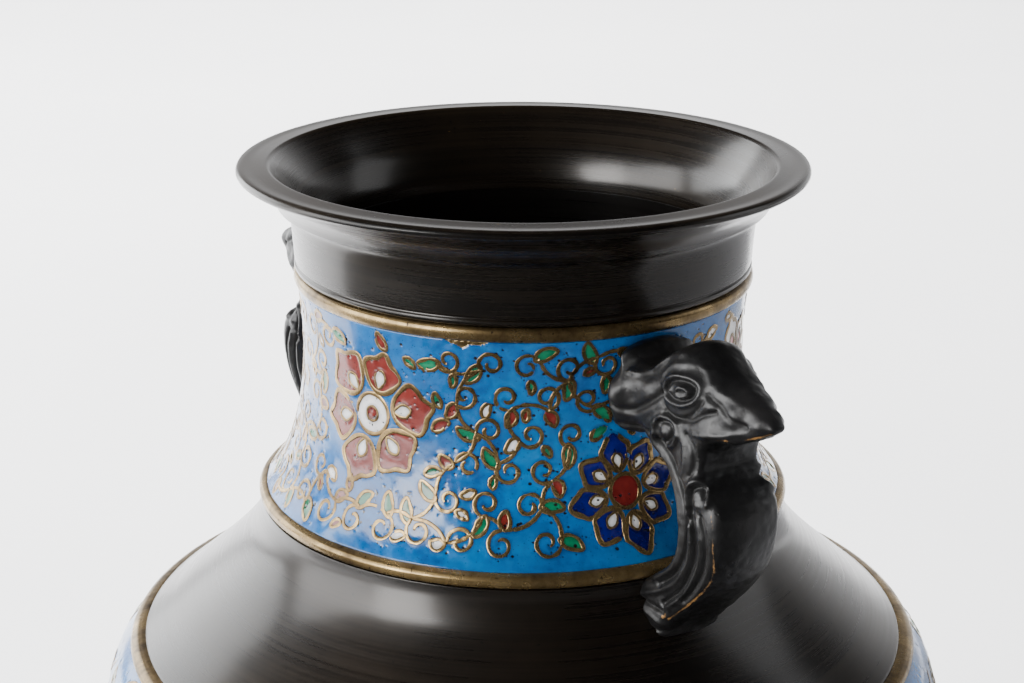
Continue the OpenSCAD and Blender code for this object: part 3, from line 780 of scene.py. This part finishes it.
belly_cells, belly_wires = [], []
for rep in range(3):
    o = rep * 120
    flower(belly_cells, belly_wires, -20 + o, -130.5, 17.5, 8, "pink", BELLY_R, turn=0.2 + rep, drop="white", disc="white", heart="red")
    flower(belly_cells, belly_wires, 20 + o, -134.5, 15.0, 6, "white", BELLY_R, turn=0.5, drop="pink", disc="red", heart="white")
    flower(belly_cells, belly_wires, 60 + o, -133.0, 16.5, 8, "cobalt", BELLY_R, turn=0.1 + rep, drop="white", disc="red", heart="white")
    for s, (ca, kz) in enumerate(((0, 1), (40, -1), (80, 1))):
        c = ca + o
        for up in (1, -1):
            zc = -132 + up * 13
            leaf(belly_cells, c - 4.5, zc + up * 5, 7.5, 3.6, 0.5 * up + s, ("green", "pale", "green")[s], BELLY_R)
            leaf(belly_cells, c + 5, zc + up * 6.5, 7.0, 3.4, 2.4 * up + s, "green", BELLY_R)
            leaf(belly_cells, c + 0.5, zc - up * 6.5, 6.0, 3.2, 1.4 + s, ("red", "pink", "red")[s], BELLY_R)
            curl(belly_wires, c - 3.2, zc - 0.5 * up, 5.2, 1.2 * up, 5.8 * up, BELLY_R, tail=[(c + 1.5, zc + 9 * up), (c - 0.5, zc + 6.5 * up)])
            curl(belly_wires, c + 4.2, zc + 0.5 * up, 4.6, -1.6 * up + 3.1, -5.6 * up, BELLY_R, tail=[(c + 0.5, -132), (c + 1.2, zc - 3 * up)])
        belly_wires.append(([(c - 9, -132), (c - 4, -129), (c, -132), (c + 4, -135), (c + 9, -132)], WIRE * 0.9))
    for ca in (-20, 20, 60):
        c = ca + o
        for up in (1, -1):
            leaf(belly_cells, c - 6.5, -132 + up * 23.5, 7.5, 3.4, 0.2 * up, "green", BELLY_R)
            leaf(belly_cells, c + 6.5, -132 + up * 23.5, 7.5, 3.4, 3.0 * up, "pale", BELLY_R)
            curl(belly_wires, c, -132 + up * 23, 3.2, 0.0, 5.6 * up, BELLY_R)
belly_colours = {
    "turquoise": ("enamel_belly_turquoise", [M_TURQ], "enamel_turquoise", ["belly_enamel_ground"], ["turquoise"]),
    "pink": ("enamel_belly_pink", [M_PINK, M_RED], "enamel_pink", ["belly_enamel_pink"], ["pink", "red"]),
    "red": (None, None, None, None, None),
    "white": ("enamel_belly_white", [M_WHITE], "enamel_white", ["belly_enamel_white"], ["white"]),
    "green": ("enamel_belly_green", [M_GREEN, M_PALE], "enamel_green", ["belly_enamel_green"], ["green", "pale"]),
    "pale": (None, None, None, None, None),
    "cobalt": ("enamel_belly_cobalt", [M_COBALT], "enamel_cobalt", ["belly_enamel_cobalt"], ["cobalt"]),
}
band("belly", BELLY_R, -105.8, -160.0, belly_cells, belly_wires, belly_colours, 1300, 0.45, 22)

# ------------------------------------------------------------------ cast handles
OUTER = [[46, -26.6], [49.2, -26.6], [52, -28.4], [55, -29.0], [58, -26.6], [62, -23.6], [66.5, -22.8], [70.6, -25.2], [75.6, -28.4], [81.0, -30.6], [85.4, -32.8], [86.2, -34.4], [83.4, -36.2], [79.6, -38.2], [75.2, -39.4], [72.6, -41.6], [71.9, -45.4], [73.4, -48.2], [76.2, -50.4], [77.6, -54], [77.6, -59], [76.4, -64], [73.6, -69], [69.2, -74.2], [65.6, -78.0], [62.6, -81.4], [60.4, -85], [56, -89], [50, -88]]
INNER = [[52.4, -80], [54.6, -74.6], [60, -70.4], [65.2, -65.8], [66.9, -60.6], [66.2, -55], [63.4, -49.6], [59, -46], [54, -44.4], [45, -45]]
# half width of the casting at points of its side view: (reach, depth, half width)
WIDTH = [(48, -27, 11.5), (48, -36, 12.6), (48, -45, 11.5), (52, -30, 9.5), (55, -36, 9.0), (55, -43, 8.0), (60, -30, 8.0), (66, -30, 8.6), (72, -31, 7.2), (77, -33, 5.8), (82, -34.5, 3.6), (86, -35, 2.0), (66, -40, 8.0), (72, -38, 7.8), (71, -44, 8.2), (62, -45, 7.4), (67, -50, 8.0), (73, -52, 8.4), (77, -56, 8.4), (72, -64, 8.2), (68, -72, 8.2), (60, -78, 8.6), (58, -84, 8.2), (62, -86, 7.6), (50, -88, 8.5)]
ROUND = [(48, -27, 4.2), (48, -36, 4.5), (48, -45, 4.2), (55, -29, 3.2), (62, -24, 4.2), (68, -24, 4.4), (72, -30, 3.6), (78, -30, 2.6), (82, -34.5, 1.6), (86, -35, 1.0), (80, -37, 1.4), (72, -42, 2.6), (72, -47, 2.6), (77, -54, 2.0), (76, -64, 2.0), (69, -74, 2.0), (60, -80, 2.0), (58, -70, 1.6), (66, -60, 1.4), (60, -46, 1.6), (60, -90, 2.0)]
# how far the crown and beak fall away at their sides, and the breast swells in the middle
SAG = [(58, -27, 1.0), (62, -24, 2.5), (67, -23, 3.4), (71, -25.5, 3.4), (75.6, -28.8, 2.6), (80, -31, 1.8), (85, -33, 1.0), (86, -36, 0), (80, -38, 0), (72, -41, 0), (72, -47, 0), (77, -54, 0), (77, -60, 0), (70, -73, 0), (60, -80, 0), (55, -70, 0), (65, -58, 0), (58, -46, 0.4), (46, -27, 4.0), (50, -28, 3.4), (54, -30, 2.0), (46, -44, 2.6), (51, -44, 1.6), (48, -36, 1.2), (62, -36, 0.2), (68, -36, 0.2)]
SWELL = [(75, -49.5, 0.8), (77.5, -54, 2.2), (77.8, -60, 2.6), (76, -66, 2.4), (72.5, -71, 2.0), (68, -75.5, 1.6), (63, -80, 1.0), (60, -72, 0), (66, -60, 0), (63, -50, 0), (70, -46, 0), (75, -38, 0), (70, -30, 0), (60, -25, 0), (85, -34, 0), (72, -42, 0.6), (54, -78, 0), (48, -35, 0)]
# lines of the relief on each side face: (kind, depth or height, half breadth, points)
LINES = [
    ("cut", 0.75, 0.75, [(46.8, -30.6), (46.5, -34.0), (47.6, -36.7), (50.0, -38.3), (53.0, -38.4), (56.2, -36.6), (59.0, -34.6), (61.5, -32.4)]),
    ("raise", 0.50, 0.50, [(61.9, -31.2), (63.3, -28.9), (66.2, -27.7), (69.2, -28.0), (70.9, -29.6), (70.2, -31.8), (67.6, -33.4), (64.4, -33.6), (62.3, -32.6), (61.9, -31.2)]),
    ("cut", 0.65, 0.42, [(63.0, -31.2), (64.2, -29.6), (66.6, -28.7), (68.9, -29.0), (69.9, -30.1), (69.2, -31.5), (67.2, -32.5), (64.7, -32.6), (63.3, -32.0), (63.0, -31.2)]),
    ("raise", 0.50, 0.40, [(66.0, -30.9), (66.8, -29.9), (68.3, -29.8), (69.0, -30.6), (68.3, -31.4), (66.8, -31.7), (66.0, -30.9)]),
    ("raise", 0.45, 0.50, [(64.3, -31.2), (64.5, -31.1)]),
    ("cut", 0.45, 0.45, [(60.9, -31.4), (61.4, -34.2), (63.8, -36.2), (67.0, -36.2), (70.0, -34.4), (72.0, -31.6)]),
    ("raise", 0.35, 0.60, [(60.8, -29.0), (63.0, -26.6), (66.6, -25.6), (70.2, -26.2), (72.2, -28.4)]),
    ("raise", 0.60, 0.55, [(51.1, -31.0), (53.7, -30.7), (56.9, -29.1), (59.1, -27.1), (60.6, -25.3)]),
    ("cut", 0.55, 1.10, [(53.2, -28.9), (55.2, -30.8), (58.0, -29.8), (60.2, -27.6)]),
    ("raise", 0.80, 0.75, [(59.3, -41.2), (59.2, -39.6), (61.1, -37.6), (63.3, -36.9), (65.2, -37.3), (66.2, -39.0), (65.4, -41.5), (63.5, -42.9)]),
    ("cut", 0.85, 0.50, [(60.6, -38.6), (62.0, -38.2), (63.5, -38.5), (64.1, -39.7), (63.6, -41.3), (62.0, -42.4)]),
    ("raise", 0.50, 0.90, [(61.6, -40.4), (61.9, -40.4)]),
    ("raise", 0.60, 0.85, [(58.6, -42.0), (58.9, -43.9), (60.9, -46.4), (63.6, -49.0), (65.6, -52.0), (67.0, -56.1), (67.2, -61.0), (66.3, -64.9), (64.3, -67.9), (60.2, -70.9)]),
    ("cut", 0.85, 0.55, [(60.0, -42.6), (62.6, -44.6), (65.8, -47.1), (68.2, -50.7), (69.7, -55.1), (69.7, -60.1), (68.8, -64.4), (66.7, -67.9), (62.2, -71.6)]),
    ("raise", 0.55, 0.70, [(56.9, -75.6), (62.2, -73.1), (66.6, -69.9), (69.6, -65.9), (70.9, -61.4), (71.0, -56.5)]),
    ("cut", 0.80, 0.50, [(70.8, -53.2), (72.2, -57.0), (72.5, -61.4), (71.2, -66.3), (68.5, -70.8), (63.4, -75.4)]),
    ("raise", 0.45, 0.60, [(73.4, -54.4), (74.3, -58.0), (74.0, -62.0), (72.4, -66.8), (69.2, -71.6), (64.6, -75.6)]),
    ("cut", 0.65, 0.42, [(74.3, -53.5), (75.6, -56.9), (75.7, -60.8), (74.6, -65.0), (72.2, -69.3), (68.9, -73.0)]),
    ("raise", 0.75, 0.62, [(70.3, -54.2), (69.6, -51.2), (70.1, -48.7), (71.7, -47.2), (73.5, -47.3), (75.0, -48.9), (75.6, -50.6)]),
    ("cut", 0.75, 0.42, [(71.6, -53.4), (70.9, -51.1), (71.5, -49.0), (73.1, -48.4), (74.2, -49.8)]),
    ("raise", 0.45, 0.70, [(72.8, -51.2), (73.1, -51.6)]),
    ("raise", 0.50, 0.75, [(61.2, -25.0), (64.6, -24.3), (68.0, -24.8), (71.5, -26.7), (74.0, -28.8), (77.0, -29.6), (79.6, -30.4)]),
    ("cut", 0.50, 0.50, [(72.6, -30.2), (75.4, -31.6), (78.4, -33.4), (81.0, -34.4)]),
    ("cut", 0.55, 0.55, [(62.4, -36.2), (65.5, -36.6), (69.4, -36.0), (72.2, -34.2), (74.8, -33.0)]),
    ("raise", 0.35, 0.60, [(70.6, -38.2), (75.2, -37.4), (80.4, -35.8)]),
    ("cut", 0.50, 0.50, [(68.5, -38.9), (70.6, -41.1), (70.8, -44.6), (70.0, -46.8)]),
    ("raise", 0.40, 0.70, [(67.0, -39.6), (68.4, -42.0), (68.4, -45.4), (67.2, -47.4)]),
    ("cut", 0.55, 0.50, [(49.6, -42.2), (53.6, -42.0), (57.4, -42.0)]),
    ("raise", 0.40, 0.70, [(56.0, -78.6), (60.2, -79.4), (63.0, -80.6)]),
    ("cut", 0.65, 0.50, [(54.6, -77.0), (59.4, -77.2), (63.2, -77.4)]),
    ("cut", 0.60, 0.50, [(55.0, -83.4), (59.4, -82.4), (62.8, -82.4)]),
]
WEAR = [
    (0.38, [(76.4, -51.4), (77.2, -55.1), (77.5, -58.9), (77.2, -63.0), (75.6, -67.0), (72.8, -70.6), (68.8, -74.6), (64.4, -78.6)]),
    (0.45, [(76.2, -38.0), (81.6, -36.6), (85.4, -34.8)]),
    (0.7, [(63.2, -78.6), (64.2, -77.0)]),
]


def to_line(x, z, pts, smooth=True):
    """Distance from every (x, z) to a line through the points."""
    p = spline(pts, 4) if smooth and len(pts) > 2 else np.array(pts, float)
    best = np.full(x.shape, 1e9)
    for a, b in zip(p[:-1], p[1:]):
        d = b - a
        t = np.clip(((x - a[0]) * d[0] + (z - a[1]) * d[1]) / (d @ d + 1e-12), 0, 1)
        best = np.minimum(best, np.hypot(x - a[0] - t * d[0], z - a[1] - t * d[1]))
    return best


def spread(x, z, table, power=3.2):
    top = np.zeros(x.shape)
    low = np.zeros(x.shape)
    for px, pz, v in table:
        w = ((x - px) ** 2 + (z - pz) ** 2 + 2.0) ** (-power / 2)
        top += w * v
        low += w
    return top / low


def nets(F, origin, h):
    """Surface nets: one vertex in every cell the surface crosses, one quad for every crossed grid edge."""
    S = F < 0
    n = [s - 1 for s in F.shape]
    count = np.zeros(n, np.int8)
    corners = [(i, j, k) for i in (0, 1) for j in (0, 1) for k in (0, 1)]
    for i, j, k in corners:
        count += S[i:i + n[0], j:j + n[1], k:k + n[2]]
    act = (count > 0) & (count < 8)
    I = np.argwhere(act)
    idx = np.full(n, -1, np.int64)
    idx[act] = np.arange(len(I))
    tot = np.zeros((len(I), 3))
    num = np.zeros(len(I))
    val = {c: F[I[:, 0] + c[0], I[:, 1] + c[1], I[:, 2] + c[2]] for c in corners}
    for a in corners:
        for ax in range(3):
            if a[ax]:
                continue
            b = tuple(1 if q == ax else a[q] for q in range(3))
            cross = (val[a] < 0) != (val[b] < 0)
            t = val[a][cross] / (val[a][cross] - val[b][cross])
            p = np.repeat(np.array([a], float), cross.sum(), 0)
            p[:, ax] = t
            tot[cross] += p
            num[cross] += 1
    V = (I + tot / num[:, None]) * h + origin
    faces = []
    for ax in range(3):
        u, v = (ax + 1) % 3, (ax + 2) % 3
        lo = [slice(None)] * 3
        hi = [slice(None)] * 3
        lo[ax], hi[ax] = slice(0, -1), slice(1, None)
        E = np.argwhere(S[tuple(lo)] != S[tuple(hi)])
        E = E[(E[:, u] > 0) & (E[:, u] < F.shape[u] - 1) & (E[:, v] > 0) & (E[:, v] < F.shape[v] - 1)]
        inn = S[E[:, 0], E[:, 1], E[:, 2]]
        q = []
        for du, dv in ((-1, -1), (0, -1), (0, 0), (-1, 0)):
            c = E.copy()
            c[:, u] += du
            c[:, v] += dv
            q.append(idx[c[:, 0], c[:, 1], c[:, 2]])
        q = np.stack(q, 1)
        q[~inn] = q[~inn][:, ::-1]
        faces.append(q)
    return V, np.vstack(faces)


def handle():
    h = 0.27
    xs = np.arange(42.0, 89.0, h)
    ys = np.arange(-15.0, 15.0 + h, h)
    zs = np.arange(-97.0, -19.0, h)
    X, Z = np.meshgrid(xs, zs, indexing="ij")
    body = np.vstack([spline(OUTER, 5), spline(INNER, 5)])
    d2 = to_line(X, Z, np.vstack([body, body[:1]]), smooth=False)
    d2 = np.where(inside(body, X, Z), -d2, d2)
    hw = spread(X, Z, WIDTH)
    rr = spread(X, Z, ROUND)
    groove = np.zeros(X.shape)
    for kind, depth, broad, pts in LINES:
        e = np.exp(-(to_line(X, Z, pts) / broad) ** 2)
        hw = hw + (depth if kind == "raise" else -depth) * e
        if kind == "cut":
            groove = np.maximum(groove, e)
    rr = np.minimum(rr, hw * 0.9)
    rng = np.random.default_rng(77)
    shape = (len(xs), len(ys), len(zs))
    fr = np.sqrt(np.fft.fftfreq(shape[0], h)[:, None, None] ** 2 + np.fft.fftfreq(shape[1], h)[None, :, None] ** 2 + np.fft.rfftfreq(shape[2], h)[None, None, :] ** 2)
    rough = np.fft.irfftn(np.fft.rfftn(rng.normal(size=shape)) * (np.exp(-(fr / 0.09) ** 2) * 3.0 + np.exp(-(fr / 0.45) ** 2) * 0.16), s=shape)
    rough /= rough.std()
    Y = np.abs(ys)[None, :, None]
    sag, swell = spread(X, Z, SAG), spread(X, Z, SWELL)
    q = np.clip(Y / hw[:, None, :], 0, 1.1) ** 2
    a = (d2 + rr)[:, None, :] + sag[:, None, :] * q - swell[:, None, :] * (1 - np.minimum(q, 1))
    b = Y - (hw - rr)[:, None, :]
    F = np.minimum(np.maximum(a, b), 0) + np.hypot(np.maximum(a, 0), np.maximum(b, 0)) - rr[:, None, :]
    F = F + 0.07 * rough
    wall = body_radius(zs)[None, None, :] - 1.0 - np.hypot(xs[:, None, None], ys[None, :, None])
    F = np.maximum(F, wall)
    F[0], F[-1], F[:, 0], F[:, -1], F[:, :, 0], F[:, :, -1] = 1, 1, 1, 1, 1, 1
    V, Q = nets(F, np.array([xs[0], ys[0], zs[0]]), h)
    soft = np.fft.irfftn(np.fft.rfftn(np.clip(F, -2, 2)) * np.exp(-2 * (math.pi * fr * 0.55) ** 2), s=shape)
    g = np.clip(np.round((V - [xs[0], ys[0], zs[0]]) / h).astype(int), 0, np.array(shape) - 1)
    bend = soft[g[:, 0], g[:, 1], g[:, 2]] - F[g[:, 0], g[:, 1], g[:, 2]]
    side = np.clip((np.abs(V[:, 1]) - (hw - rr - 0.4)[g[:, 0], g[:, 2]]) / 0.8, 0, 1)
    hollow = np.clip(np.maximum(-bend / 0.16, groove[g[:, 0], g[:, 2]] * side), 0, 1)
    worn = np.clip(bend / 0.22, 0, 1) * 0.42
    for broad, pts in WEAR:
        e = np.exp(-(to_line(V[:, 0], V[:, 2], pts) / broad) ** 2)
        worn = np.maximum(worn, e * np.clip(0.35 + bend / 0.14, 0, 0.80))
    return V, Q, worn, hollow


HV, HQ, HWORN, HHOLLOW = handle()
for tag, node, turn in (("right", "handle_right", -SKEW), ("left", "handle_left", 180 + SKEW)):
    t = math.radians(turn)
    P = np.stack([HV[:, 0] * math.cos(t) - HV[:, 1] * math.sin(t), HV[:, 0] * math.sin(t) + HV[:, 1] * math.cos(t), HV[:, 2] + T], 1)
    ob = new_object("bird_handle_" + tag, P * MM, HQ, [M_CAST])
    for an, arr in (("worn", HWORN), ("hollow", HHOLLOW)):
        at = ob.data.attributes.new(an, "FLOAT", "POINT")
        at.data.foreach_set("value", arr.astype(np.float32))
    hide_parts(node)


# ------------------------------------------------------------------ stage
EF = np.array([0.7933, -0.6088])      # on the floor, from the vase towards the camera
ER = np.array([0.6088, 0.7933])       # on the floor, to the right of the picture


def around(az, dist, height):
    p = dist * (EF * math.cos(math.radians(az)) + ER * math.sin(math.radians(az)))
    return Vector((p[0], p[1], height))


def aim(ob, pos, target):
    ob.location = pos
    ob.rotation_euler = (Vector(target) - Vector(pos)).to_track_quat("-Z", "Y").to_euler()


def area(name, pos, target, sx, sy, power, colour=(1, 1, 1)):
    l = bpy.data.lights.new(name, "AREA")
    l.shape = "RECTANGLE"
    l.size, l.size_y, l.energy, l.color = sx, sy, power, colour
    o = bpy.data.objects.new(name, l)
    bpy.context.scene.collection.objects.link(o)
    aim(o, pos, target)
    return o


m, nt, bs = nodes_of("floor_pale")
fl = noise(nt, (1, 1, 1), 3.0, 4, 0.5)
nt.links.new(ramp(nt, fl, [(0.3, (0.76, 0.76, 0.77)), (0.7, (0.80, 0.80, 0.805))]), bs.inputs["Base Color"])
nt.links.new(remap(nt, noise(nt, (1, 1, 1), 60, 3, 0.5), 0.3, 0.7, 0.55, 0.70), bs.inputs["Roughness"])
bs.inputs["Specular IOR Level"].default_value = 0.2
n = 24
u = np.linspace(-5, 5, n + 1)
gx, gy = np.meshgrid(u, u, indexing="ij")
fv = np.stack([gx, gy, np.zeros_like(gx)], -1).reshape(-1, 3)
i, j = np.meshgrid(np.arange(n), np.arange(n), indexing="ij")
ff = np.stack([i * (n + 1) + j, (i + 1) * (n + 1) + j, (i + 1) * (n + 1) + j + 1, i * (n + 1) + j + 1], -1).reshape(-1, 4)
me = bpy.data.meshes.new("floor")
me.from_pydata(fv.tolist(), [], ff.tolist())
me.materials.append(m)
floor = bpy.data.objects.new("floor", me)
bpy.context.scene.collection.objects.link(floor)

# Painted reflection of shade: a near-black card on the floor in front of the vase. It is hidden from the camera, from
# diffuse light and from shadows, so it shows only in reflections as the dark area in front.
m, nt, bs = nodes_of("painted_shade_reflection_dark")
nt.links.new(ramp(nt, noise(nt, (1, 1, 1), 9, 3, 0.5), [(0.3, (0.006, 0.006, 0.006)), (0.7, (0.010, 0.010, 0.010))]), bs.inputs["Base Color"])
nt.links.new(remap(nt, noise(nt, (1, 1, 1), 30, 3, 0.5), 0.3, 0.7, 0.8, 0.9), bs.inputs["Roughness"])
steps = np.linspace(-98, 56, 23)
cv = [tuple(around(s, d, 0.002)) for s in steps for d in (0.118, 0.5, 1.05 + 1.25 * min(1.0, max(0.0, (s + 60) / 22)))]
me = bpy.data.meshes.new("shade_reflection_card_front")
me.from_pydata(cv, [], [(3 * s + k, 3 * s + k + 1, 3 * s + k + 4, 3 * s + k + 3) for s in range(22) for k in (0, 1)])
me.materials.append(m)
card = bpy.data.objects.new("shade_reflection_card_front", me)
bpy.context.scene.collection.objects.link(card)
# Painted reflection of shade: a mid-grey card on the floor to the right of the vase. It stands in for the shaded side
# of the table and is seen only in reflections.
m, nt, bs = nodes_of("painted_shade_reflection_grey")
nt.links.new(ramp(nt, noise(nt, (1, 1, 1), 9, 3, 0.5), [(0.3, (0.16, 0.16, 0.165)), (0.7, (0.20, 0.20, 0.205))]), bs.inputs["Base Color"])
nt.links.new(remap(nt, noise(nt, (1, 1, 1), 30, 3, 0.5), 0.3, 0.7, 0.8, 0.9), bs.inputs["Roughness"])
steps = np.linspace(56.5, 150, 15)
cv = [tuple(around(s, d, 0.002)) for s in steps for d in (0.118, 0.5, 1.5)]
me = bpy.data.meshes.new("shade_reflection_card_right")
me.from_pydata(cv, [], [(3 * s + k, 3 * s + k + 1, 3 * s + k + 4, 3 * s + k + 3) for s in range(14) for k in (0, 1)])
me.materials.append(m)
grey = bpy.data.objects.new("shade_reflection_card_right", me)
bpy.context.scene.collection.objects.link(grey)
# Both cards are hidden from the camera, from diffuse light and from shadows, so they act only as painted reflections of
# shade.
for c in (card, grey):
    c.visible_camera = c.visible_diffuse = c.visible_shadow = False

def toward(name, az, el, dist, sx, sy, radiance, colour=(1, 1, 1)):
    """A rectangular light seen from the vase at an azimuth and elevation, with a set radiance."""
    e = math.radians(el)
    return area(name, around(az, dist * math.cos(e), 0.22 + dist * math.sin(e)), (0, 0, 0.22), sx, sy, radiance * math.pi * sx * sy, colour)


toward("window_pane_1", -49, 16, 1.8, 0.74, 1.15, 11.5, (1.0, 0.995, 0.985))
toward("window_pane_2", -82, 15, 1.8, 1.20, 1.10, 6.0, (0.99, 0.995, 1.0))
toward("window_pane_3", -130, 15, 1.8, 1.25, 0.95, 5.0, (0.97, 0.99, 1.0))
toward("window_right", 98, 24, 1.9, 0.8, 1.0, 1.2, (0.96, 0.98, 1.0))
for o in (area("soft_front", around(-14, 1.6, 1.5), (0, 0, 0.22), 1.5, 1.2, 7),
          area("soft_floor", around(-160, 1.9, 2.4), around(-172, 1.1, 0), 3.2, 1.8, 470),
          area("soft_top", Vector((0.1, -0.1, 2.4)), (0, 0, 0.2), 1.6, 1.6, 8)):
    o.visible_glossy = False

w = bpy.data.worlds.new("studio")
bpy.context.scene.world = w
w.use_nodes = True
nt = w.node_tree
nt.nodes.clear()
out = nt.nodes.new("ShaderNodeOutputWorld")
bg = nt.nodes.new("ShaderNodeBackground")
nt.links.new(bg.outputs[0], out.inputs[0])
tc = nt.nodes.new("ShaderNodeTexCoord")
dt = nt.nodes.new("ShaderNodeVectorMath")
dt.operation = "DOT_PRODUCT"
nt.links.new(tc.outputs["Generated"], dt.inputs[0])
dt.inputs[1].default_value = (-EF[0], -EF[1], 0.0)
sep = nt.nodes.new("ShaderNodeSeparateXYZ")
nt.links.new(tc.outputs["Generated"], sep.inputs[0])
behind = remap(nt, dt.outputs["Value"], 0.15, 0.85, 0.0, 1.0)
low = remap(nt, sep.outputs["Z"], 0.16, 0.44, 1.0, 0.0)
r = ramp(nt, math_node(nt, "MULTIPLY", behind, low, clamp=True), [(0.0, (0.015, 0.015, 0.016)), (1.0, (1.05, 1.05, 1.06))])
nt.links.new(r, bg.inputs[0])
bg.inputs[1].default_value = 1.0

# ------------------------------------------------------------------ camera
yaw, pitch, roll = -0.005293, -0.3138, 0.00148
fh = np.array([*(math.cos(yaw) * -EF + math.sin(yaw) * ER), 0.0])
fwd = math.cos(pitch) * fh + math.sin(pitch) * np.array([0, 0, 1.0])
right = np.cross(fwd, [0, 0, 1.0])
right /= np.linalg.norm(right)
up = np.cross(right, fwd)
right, up = math.cos(roll) * right + math.sin(roll) * up, math.cos(roll) * up - math.sin(roll) * right
cam = bpy.data.cameras.new("camera")
cam.lens, cam.sensor_width, cam.clip_start, cam.clip_end = 75.07, 36, 0.01, 30
co = bpy.data.objects.new("camera", cam)
bpy.context.scene.collection.objects.link(co)
M = Matrix.Identity(4)
for k in range(3):
    M[k][0], M[k][1], M[k][2] = right[k], up[k], -fwd[k]
M[0][3], M[1][3], M[2][3] = 0.3474, -0.2666, 0.4015
co.matrix_world = M
bpy.context.scene.camera = co
